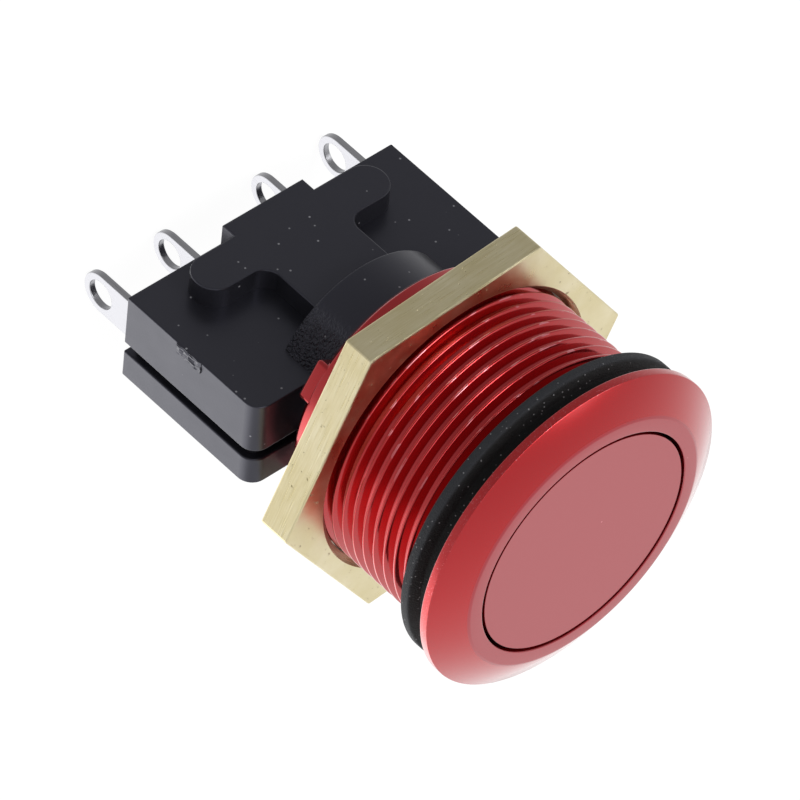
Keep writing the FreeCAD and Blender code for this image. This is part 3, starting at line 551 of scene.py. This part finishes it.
bpy.ops.object.select_all(action="DESELECT")
bpy.ops.mesh.primitive_cylinder_add(vertices=128, radius=COLLAR_RADIUS * MM,
                                    depth=(SHOULDER - COLLAR_REAR) * MM,
                                    location=(0, 0, (SHOULDER + COLLAR_REAR) / 2 * MM))
collar = bpy.context.object
collar.name = "collar"
bpy.ops.object.transform_apply(location=True)
round_off(collar, 0.15, 3, lambda a, b: near(a.z, COLLAR_REAR) and near(b.z, COLLAR_REAR))
collar_underside = block("collar_underside", (-10, -10, COLLAR_REAR - 1), (10, BASE_LOW, BLOCK_FRONT))
join_or_cut(collar, collar_underside, "DIFFERENCE")
join_or_cut(base, collar, "UNION")

base_room = block("base_room", (-half_width + SIDE_WALL, BASE_LOW - 1, block_rear + END_WALL),
                  (half_width - SIDE_WALL, BASE_TOP - ROOF, BLOCK_FRONT - END_WALL))
join_or_cut(base, base_room, "DIFFERENCE")
bpy.ops.object.select_all(action="DESELECT")
bpy.ops.mesh.primitive_cylinder_add(vertices=64, radius=GUIDE_BORE_RADIUS * MM,
                                    depth=(SHOULDER + 2 - BLOCK_FRONT + END_WALL) * MM,
                                    location=(0, 0, (SHOULDER + 2 + BLOCK_FRONT - END_WALL) / 2 * MM))
guide_bore = bpy.context.object
bpy.ops.object.transform_apply(location=True)
join_or_cut(base, guide_bore, "DIFFERENCE")
for number in "1234":
    tag_low, tag_high = (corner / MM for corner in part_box("terminal_" + number))
    tag_x = tag_low.x + 0.25 if number in "13" else tag_high.x - 0.25
    slot = block("tag_slot", (tag_x - TAG_SLOT, BASE_LOW - 1, block_rear - 1),
                 (tag_x + TAG_SLOT, TAG_SLOT_TOP, tag_high.z + 0.03))
    join_or_cut(base, slot, "DIFFERENCE")

# The gate's torn stub on the upper left edge, where the moulding was broken from its runner.
STUB_PROUD = 0.05
STUB_ROUGH = 0.05
stub_face = -half_width - STUB_PROUD
stub = block("gate_stub", (stub_face, 2.4, -23.0), (-half_width + 0.4, 3.3, -20.6))
bpy.ops.object.mode_set(mode="EDIT")
bpy.ops.mesh.select_all(action="SELECT")
bpy.ops.mesh.subdivide(number_cuts=7)
pick(stub, "VERT", lambda p: near(p.x, stub_face))
bpy.ops.transform.vertex_random(offset=STUB_ROUGH * MM, uniform=1.0, normal=0.0, seed=3)
bpy.ops.object.mode_set(mode="OBJECT")
join_or_cut(base, stub, "UNION")
smooth(base)

# Black nylon: moulded smooth, so it takes a soft satin gloss. The collar's left flank has a sparkle grain, drawn
# coarse enough to show, and pale specks are dust and mould marks.
SPARK_GRAIN = 0.2
MOTTLE_SIZE = 1.5
NYLON_DUST_SPACING = 0.8
black_nylon, tree, surface = new_material("moulded_nylon")
place = add(tree, "ShaderNodeTexCoord").outputs["Object"]
split = add(tree, "ShaderNodeSeparateXYZ", {"Vector": place})
grain = add(tree, "ShaderNodeTexNoise", {"Vector": place, "Scale": 1 / (SPARK_GRAIN * MM), "Detail": 2.0})
mottle = add(tree, "ShaderNodeTexNoise", {"Vector": place, "Scale": 1 / (MOTTLE_SIZE * MM), "Detail": 4.0})
flank = add(tree, "ShaderNodeMapRange", {"Value": split.outputs["X"], "From Min": -3.5 * MM,
                                         "From Max": -5.0 * MM})
grained = flank.outputs["Result"]
for axis, limit in (("Z", COLLAR_REAR + 0.02), ("X", -COLLAR_RADIUS), ("Y", BASE_TOP + 0.01)):
    past = add(tree, "ShaderNodeMath", {0: split.outputs[axis], 1: limit * MM}, operation="GREATER_THAN")
    both = add(tree, "ShaderNodeMath", {0: grained, 1: past.outputs["Value"]}, operation="MULTIPLY")
    grained = both.outputs["Value"]
strength = add(tree, "ShaderNodeMapRange", {"Value": grained, "To Min": 0.01, "To Max": 1.0})
relief = add(tree, "ShaderNodeBump", {"Height": grain.outputs["Fac"], "Strength": strength.outputs["Result"],
                                      "Distance": 0.5 * MM})
dust = add(tree, "ShaderNodeTexVoronoi", {"Vector": place, "Scale": 1 / (NYLON_DUST_SPACING * MM)})
speck = add(tree, "ShaderNodeMapRange", {"Value": dust.outputs["Distance"], "From Min": 0.12,
                                         "From Max": 0.06})
rare = add(tree, "ShaderNodeSeparateColor", {"Color": dust.outputs["Color"]})
chosen = add(tree, "ShaderNodeMath", {0: rare.outputs["Red"], 1: 0.62}, operation="GREATER_THAN")
dusty = add(tree, "ShaderNodeMath", {0: speck.outputs["Result"], 1: chosen.outputs["Value"]},
            operation="MULTIPLY")
black = add(tree, "ShaderNodeMix", {"Factor": dusty.outputs["Value"], "A": linear("#18181C"),
                                    "B": linear("#808084")}, data_type="RGBA")
rough = add(tree, "ShaderNodeMapRange", {"Value": mottle.outputs["Fac"], "From Min": 0.3, "From Max": 0.7,
                                         "To Min": 0.3, "To Max": 0.36})
for socket, given in (("Base Color", black.outputs["Result"]), ("Roughness", rough.outputs["Result"]),
                      ("Normal", relief.outputs["Normal"])):
    tree.links.new(given, surface.inputs[socket])
surface.inputs["IOR"].default_value = 1.57
# The reflections are tinted faintly blue, a painted tint that stands in for the colour of the light.
surface.inputs["Specular Tint"].default_value = linear("#E6E6FF")
base.data.materials.append(black_nylon)
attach(base, "switch_body")
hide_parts("switch_base")

# Solder tags: stamped from tinned brass strip, with a rounded end and a punched eye for the wire.
# Each passes through the block's rear wall to a bent foot that carries its contact.
TAG_WIDTH = 3.3
TAG_THICKNESS = 0.5
TAG_CENTRE = 0.75
EYE_RADIUS = 1.1
FOOT_HEIGHT = 2.4
FOOT_LENGTH = 2.1
CONTACT_OFFSET = 1.3
SHANK_RADIUS = 0.53


def rod(name, radius, low, high, steps=48, axis="Z"):
    """A round bar between two points in millimetres, along Z or X."""
    low, high = Vector(low), Vector(high)
    bpy.ops.object.select_all(action="DESELECT")
    bpy.ops.mesh.primitive_cylinder_add(vertices=steps, radius=radius * MM, depth=(high - low).length * MM,
                                        location=(low + high) / 2 * MM,
                                        rotation=(0, math.pi / 2 if axis == "X" else 0, 0))
    bar = bpy.context.object
    bar.name = name
    bpy.ops.object.transform_apply(location=True, rotation=True)
    return bar


# Tinned brass: a pale silvery skin, a little dull, with drawn lines along the strip.
STRIP_LINE = 0.09
tinned, tree, surface = new_material("tinned_brass")
place = add(tree, "ShaderNodeTexCoord").outputs["Object"]
drawn = add(tree, "ShaderNodeMapping", {"Vector": place, "Scale": (1.0, 1.0, 0.04)})
lines = add(tree, "ShaderNodeTexNoise", {"Vector": drawn.outputs["Vector"],
                                         "Scale": 1 / (STRIP_LINE * MM), "Detail": 3.0})
tin = add(tree, "ShaderNodeMix", {"Factor": lines.outputs["Fac"], "A": linear("#9A9A9E"),
                                  "B": linear("#B2B2B6")}, data_type="RGBA")
rough = add(tree, "ShaderNodeMapRange", {"Value": lines.outputs["Fac"], "To Min": 0.22, "To Max": 0.42})
relief = add(tree, "ShaderNodeBump", {"Height": lines.outputs["Fac"], "Strength": 0.12,
                                      "Distance": 0.02 * MM})
for socket, given in (("Base Color", tin.outputs["Result"]), ("Roughness", rough.outputs["Result"]),
                      ("Normal", relief.outputs["Normal"])):
    tree.links.new(given, surface.inputs[socket])
surface.inputs["Metallic"].default_value = 1.0

for number in "1234":
    node = "terminal_" + number
    tag_low, tag_high = (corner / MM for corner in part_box(node))
    inward = 1 if number in "13" else -1
    tag_x = tag_low.x if inward > 0 else tag_high.x - TAG_THICKNESS
    tag = block("tag_" + number, (tag_x, TAG_CENTRE - TAG_WIDTH / 2, tag_low.z),
                (tag_x + TAG_THICKNESS, TAG_CENTRE + TAG_WIDTH / 2, tag_high.z))
    round_off(tag, TAG_WIDTH * 0.499, 16,
              lambda a, b: near(a.z, tag_low.z) and near(b.z, tag_low.z) and near(a.y, b.y))
    eye_z = tag_low.z + TAG_WIDTH / 2
    eye = rod("eye", EYE_RADIUS, (tag_x - 1, TAG_CENTRE, eye_z), (tag_x + 1.5, TAG_CENTRE, eye_z), axis="X")
    join_or_cut(tag, eye, "DIFFERENCE")
    ease_edges(tag, 0.06)
    foot_x = sorted((tag_x + TAG_THICKNESS / 2, tag_x + TAG_THICKNESS / 2 + inward * FOOT_LENGTH))
    foot = block("foot", (foot_x[0], TAG_CENTRE - FOOT_HEIGHT / 2, tag_high.z - TAG_THICKNESS),
                 (foot_x[1], TAG_CENTRE + FOOT_HEIGHT / 2, tag_high.z - 0.001))
    contact_x = tag_x + TAG_THICKNESS / 2 + inward * CONTACT_OFFSET
    shank = rod("shank_hole", SHANK_RADIUS, (contact_x, TAG_CENTRE, tag_high.z - 1),
                (contact_x, TAG_CENTRE, tag_high.z + 1))
    join_or_cut(foot, shank, "DIFFERENCE")
    join_or_cut(tag, foot, "UNION")
    smooth(tag)
    tag.data.materials.append(tinned)
    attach(tag, "switch_body")
    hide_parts(node)

# Cover of the switch block: the lower tray of the same black nylon. Its lip closes the base and leaves
# a groove round the block.
cover_low, cover_high = (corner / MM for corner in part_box("switch_cover"))
GROOVE_HEIGHT = 0.8
GROOVE_INSET = 0.6
FLOOR = 0.85
cover_top = cover_high.y - GROOVE_HEIGHT
cover = rounded_block("switch_cover_moulded", cover_low.y, cover_top)
ease_edges(cover, 0.12, steps=3)
lip = block("lip", (-half_width + GROOVE_INSET, cover_top - 0.4, block_rear + GROOVE_INSET),
            (half_width - GROOVE_INSET, cover_high.y, BLOCK_FRONT - GROOVE_INSET))
round_off(lip, BLOCK_CORNER - GROOVE_INSET, 8,
          lambda a, b: near(a.z, BLOCK_FRONT - GROOVE_INSET) and near(b.z, a.z) and near(a.x, b.x))
join_or_cut(cover, lip, "UNION")
cover_room = block("cover_room", (-half_width + SIDE_WALL, cover_low.y + FLOOR, block_rear + END_WALL),
                   (half_width - SIDE_WALL, cover_high.y + 1, BLOCK_FRONT - END_WALL))
join_or_cut(cover, cover_room, "DIFFERENCE")
smooth(cover)
cover.data.materials.append(black_nylon)
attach(cover, "switch_body")
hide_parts("switch_cover")

# Springs under the cap and behind the carrier: round steel wire, wound about the axis and seated at both ends.
COIL_STEPS = 48
COIL_TURNS = 4.5
RETURN_SEAT = -26.8
WIRE_LINE = 0.12

# Drawn spring steel: bright grey metal, with the fine haze that the drawing die leaves.
spring_steel, tree, surface = new_material("drawn_spring_steel")
place = add(tree, "ShaderNodeTexCoord").outputs["Object"]
lines = add(tree, "ShaderNodeTexNoise", {"Vector": place, "Scale": 1 / (WIRE_LINE * MM), "Detail": 3.0})
grey = add(tree, "ShaderNodeMix", {"Factor": lines.outputs["Fac"], "A": linear("#9A9A9C"),
                                   "B": linear("#C2C2C4")}, data_type="RGBA")
tree.links.new(grey.outputs["Result"], surface.inputs["Base Color"])
surface.inputs["Metallic"].default_value = 1.0
surface.inputs["Roughness"].default_value = 0.3

for node, coil_radius, wire, seat in (("cap_spring", 5.0, 0.6, WEB_FRONT),
                                      ("return_spring", 1.8, 0.4, RETURN_SEAT)):
    coil_low, coil_high = (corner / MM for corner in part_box(node))
    bpy.ops.object.select_all(action="DESELECT")
    bpy.ops.mesh.primitive_circle_add(vertices=12, radius=wire / 2 * MM, rotation=(math.pi / 2, 0, 0),
                                      location=Vector((coil_radius, 0, coil_low.z + wire / 2)) * MM)
    spring = bpy.context.object
    spring.name = node + "_wound"
    bpy.ops.object.transform_apply(location=True, rotation=True)
    coil_steps = int(COIL_STEPS * COIL_TURNS)
    apply_modifier(spring, "SCREW", angle=2 * math.pi * COIL_TURNS, iterations=1, steps=coil_steps,
                   render_steps=coil_steps, screw_offset=(coil_high.z - coil_low.z - wire) * MM)
    bpy.ops.object.mode_set(mode="EDIT")
    bpy.ops.mesh.select_all(action="SELECT")
    bpy.ops.mesh.fill_holes(sides=0)
    bpy.ops.mesh.select_all(action="SELECT")
    bpy.ops.mesh.normals_make_consistent(inside=False)
    bpy.ops.object.mode_set(mode="OBJECT")
    smooth(spring, angle=35)
    spring.data.materials.append(spring_steel)
    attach(spring, "switch_body")
    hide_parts(node)
    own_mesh(spring)

# Inner pieces: the clip and the contact springs of the same steel, the seal of rubber, the contacts of silver,
# the bridges of brass and the carrier of nylon. They keep their solids and get the finish of what they are made of.
SILVER_HAZE = 0.3
NYLON_FLOW = 1.2

# Contact silver: nearly white metal with a soft bloom.
silver, tree, surface = new_material("contact_silver")
place = add(tree, "ShaderNodeTexCoord").outputs["Object"]
haze = add(tree, "ShaderNodeTexNoise", {"Vector": place, "Scale": 1 / (SILVER_HAZE * MM), "Detail": 3.0})
bright = add(tree, "ShaderNodeMix", {"Factor": haze.outputs["Fac"], "A": linear("#D6D4CE"),
                                     "B": linear("#F0EFEC")}, data_type="RGBA")
tree.links.new(bright.outputs["Result"], surface.inputs["Base Color"])
surface.inputs["Metallic"].default_value = 1.0
surface.inputs["Roughness"].default_value = 0.22

# Natural nylon: an undyed, creamy moulding with faint flow clouds and a soft gloss.
pale_nylon, tree, surface = new_material("natural_nylon")
place = add(tree, "ShaderNodeTexCoord").outputs["Object"]
flow = add(tree, "ShaderNodeTexNoise", {"Vector": place, "Scale": 1 / (NYLON_FLOW * MM), "Detail": 3.0})
cream = add(tree, "ShaderNodeMix", {"Factor": flow.outputs["Fac"], "A": linear("#D2CCBC"),
                                    "B": linear("#E2DDD0")}, data_type="RGBA")
tree.links.new(cream.outputs["Result"], surface.inputs["Base Color"])
surface.inputs["Roughness"].default_value = 0.45
surface.inputs["IOR"].default_value = 1.53

inner_finishes = {
    spring_steel: ["retaining_clip", "closed_contact_spring", "open_contact_spring"],
    black_rubber: ["cap_seal"],
    silver: [f"{kind}_contact_{number}" for kind in ("fixed", "moving") for number in "1234"],
    brass: ["closed_bridge", "open_bridge"],
    pale_nylon: ["contact_carrier"],
}
for finish, names in inner_finishes.items():
    for name in names:
        nodes[name].data.materials.clear()
        nodes[name].data.materials.append(finish)

# Floor: a white sheet, lit from below, so it only just keeps the part's soft shadow. The part lay on its side
# when it was photographed, so the metal mirrors the surround of that table and not this sheet.
FLOOR_SIZE = 4.0
PAPER_GLOW = 0.95
PAPER_SHADE = 0.08
bpy.ops.object.select_all(action="DESELECT")
bpy.ops.mesh.primitive_plane_add(size=FLOOR_SIZE, location=(0, 0, cad_low.z))
floor = bpy.context.object
floor.name = "floor"
paper = bpy.data.materials.new("white_paper")
paper.use_nodes = True
tree = paper.node_tree
tree.nodes.clear()
matt = add(tree, "ShaderNodeBsdfDiffuse", {"Color": (PAPER_SHADE, PAPER_SHADE, PAPER_SHADE, 1)})
white = add(tree, "ShaderNodeEmission", {"Color": (1, 1, 1, 1), "Strength": PAPER_GLOW})
both = add(tree, "ShaderNodeAddShader", {0: matt.outputs["BSDF"], 1: white.outputs["Emission"]})
add(tree, "ShaderNodeOutputMaterial", {"Surface": both.outputs["Shader"]})
floor.data.materials.append(paper)
floor.visible_glossy = False
floor.visible_diffuse = False
floor.visible_shadow = False

# Camera: where the photograph was taken from, by its position and its own axes in the part's frame.
CAMERA_PLACE = (-0.29256, 0.43368, 0.26345)
CAMERA_RIGHT = Vector((0.7446321, 0.07870808, 0.66281828))
CAMERA_UP = Vector((0.4497709, 0.67455565, -0.58538945))
CAMERA_LENS = 405.93
camera_data = bpy.data.cameras.new("camera")
camera_data.lens = CAMERA_LENS
camera_data.sensor_width = 36
camera_data.clip_end = 10
camera = bpy.data.objects.new("camera", camera_data)
bpy.context.scene.collection.objects.link(camera)
camera.matrix_world = Matrix.Translation(CAMERA_PLACE) @ Matrix(
    (CAMERA_RIGHT, CAMERA_UP, CAMERA_RIGHT.cross(CAMERA_UP))).transposed().to_4x4()
bpy.context.scene.camera = camera

# Light: the part was photographed lying on a bright table, with the raised side of its block up, under a dim
# ceiling. The surround is palest towards the table, most of all at the left. A strip of light in front draws the
# thin lines on the thread's crests, and one soft lamp stands beside it.
TABLE_LIGHT = 1.1
CEILING_LIGHT = 0.4
WINDOW_LIGHT = 1.2
STRIP_LIGHT = 2.2
BRIGHT_LEFT = (-0.493, -0.734, -0.467)
LAMP_DISTANCE = 0.35
LAMP_SIZE = 0.14
LAMP_POWER = 0.4
world = bpy.data.worlds.new("studio")
bpy.context.scene.world = world
world.use_nodes = True
tree = world.node_tree
tree.nodes.clear()
direction = add(tree, "ShaderNodeTexCoord").outputs["Generated"]
split = add(tree, "ShaderNodeSeparateXYZ", {"Vector": direction})
level = add(tree, "ShaderNodeMapRange", {"Value": split.outputs["Y"], "From Min": -0.75, "From Max": 0.75,
                                         "To Min": TABLE_LIGHT, "To Max": CEILING_LIGHT})
leftward = add(tree, "ShaderNodeVectorMath", {0: direction, 1: BRIGHT_LEFT}, operation="DOT_PRODUCT")
window = add(tree, "ShaderNodeMapRange", {"Value": leftward.outputs["Value"], "From Min": 0.7,
                                          "From Max": 0.95, "To Min": 0.0, "To Max": WINDOW_LIGHT},
             interpolation_type="SMOOTHSTEP")
surround = add(tree, "ShaderNodeMath", {0: level.outputs["Result"], 1: window.outputs["Result"]},
               operation="ADD")
strip = STRIP_LIGHT
for axis, dark, lit in (("Z", 0.58, 0.7), ("Z", 0.96, 0.86), ("Y", 0.1, 0.35)):
    side = add(tree, "ShaderNodeMapRange", {"Value": split.outputs[axis], "From Min": dark, "From Max": lit},
               interpolation_type="SMOOTHSTEP")
    within = add(tree, "ShaderNodeMath", {0: side.outputs["Result"], 1: strip}, operation="MULTIPLY")
    strip = within.outputs["Value"]
strength = add(tree, "ShaderNodeMath", {0: strip, 1: surround.outputs["Value"]}, operation="ADD")
studio = add(tree, "ShaderNodeBackground", {"Color": (1, 1, 1, 1), "Strength": strength.outputs["Value"]})
add(tree, "ShaderNodeOutputWorld", {"Surface": studio.outputs["Background"]})

lamp_data = bpy.data.lights.new("soft_lamp", "AREA")
lamp_data.shape = "RECTANGLE"
lamp_data.size = LAMP_SIZE
lamp_data.size_y = LAMP_SIZE
lamp_data.energy = LAMP_POWER
lamp = bpy.data.objects.new("soft_lamp", lamp_data)
bpy.context.scene.collection.objects.link(lamp)
lamp_from = Vector((0.12, 0.65, 0.75)).normalized()
lamp.location = lamp_from * LAMP_DISTANCE
lamp.rotation_mode = "QUATERNION"
lamp.rotation_quaternion = lamp_from.to_track_quat("Z", "Y")

bpy.context.scene.view_settings.view_transform = "Standard"
